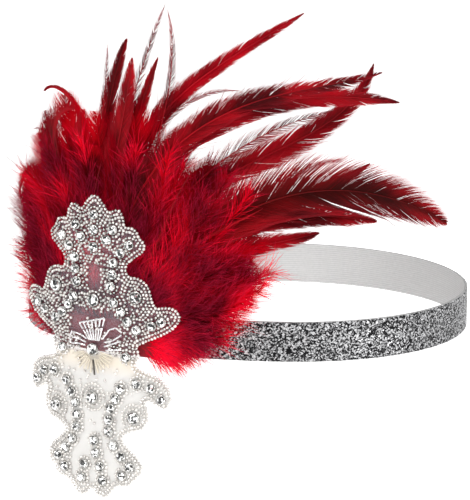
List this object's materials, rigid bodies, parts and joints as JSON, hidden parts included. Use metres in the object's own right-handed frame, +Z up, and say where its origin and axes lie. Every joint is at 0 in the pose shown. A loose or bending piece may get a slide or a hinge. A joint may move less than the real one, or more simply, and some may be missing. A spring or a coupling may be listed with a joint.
{
  "type": "flapper feather headband",
  "caption": "Oval elastic headband, glittered outside, with a tall beaded and jewelled applique at the left front and a fan of red hackles and down behind it.",
  "frame": {"origin": "middle of the oval of the band, at half the band's height, where the head goes in", "axes": "+Z up along the wearer's head, -X the forehead end of the oval, -Y the wearer's left, where the applique and the feathers are"},
  "size_m": [0.1766, 0.1938, 0.1968],
  "materials": {
    "glitter_elastic": "silver glitter on woven elastic, white ribbed inside",
    "sheer_ground": "sheer white organza edged with rows of seed beads",
    "cut_glass": "foiled cut glass",
    "silver_beads": "silver lined glass beads and plated cups",
    "red_hackle": "glossy dyed dark red feather",
    "crimson_down": "soft dyed crimson marabou"
  },
  "bodies": {
    "root": {"elastic_band": "glitter_elastic", "applique_ground": "sheer_ground", "stone_01": "cut_glass", "stone_02": "cut_glass", "stone_03": "cut_glass", "stone_04": "cut_glass", "stone_05": "cut_glass", "stone_06": "cut_glass", "stone_07": "cut_glass", "stone_08": "cut_glass", "stone_09": "cut_glass", "stone_10": "cut_glass", "stone_11": "cut_glass", "stone_12": "cut_glass", "stone_13": "cut_glass", "stone_14": "cut_glass", "stone_15": "cut_glass", "stone_16": "cut_glass", "stone_17": "cut_glass", "stone_18": "cut_glass", "stone_19": "cut_glass", "stone_20": "cut_glass", "stone_21": "cut_glass", "stone_22": "cut_glass", "stone_23": "cut_glass", "stone_24": "cut_glass", "stone_25": "cut_glass", "stone_26": "cut_glass", "stone_27": "cut_glass", "stone_28": "cut_glass", "stone_29": "cut_glass", "stone_30": "cut_glass", "stone_31": "cut_glass", "stone_32": "cut_glass", "stone_33": "cut_glass", "stone_34": "cut_glass", "stone_35": "cut_glass", "stone_36": "cut_glass", "stone_37": "cut_glass", "stone_38": "cut_glass", "stone_39": "cut_glass", "bugle_flower": "silver_beads", "hackle_01": "red_hackle", "hackle_02": "red_hackle", "hackle_03": "red_hackle", "hackle_04": "red_hackle", "hackle_05": "red_hackle", "hackle_06": "red_hackle", "hackle_07": "red_hackle", "hackle_08": "red_hackle", "hackle_09": "red_hackle", "hackle_10": "red_hackle", "hackle_11": "red_hackle", "hackle_12": "red_hackle", "hackle_13": "red_hackle", "marabou_fluff": "crimson_down"}
  },
  "joints": []
}
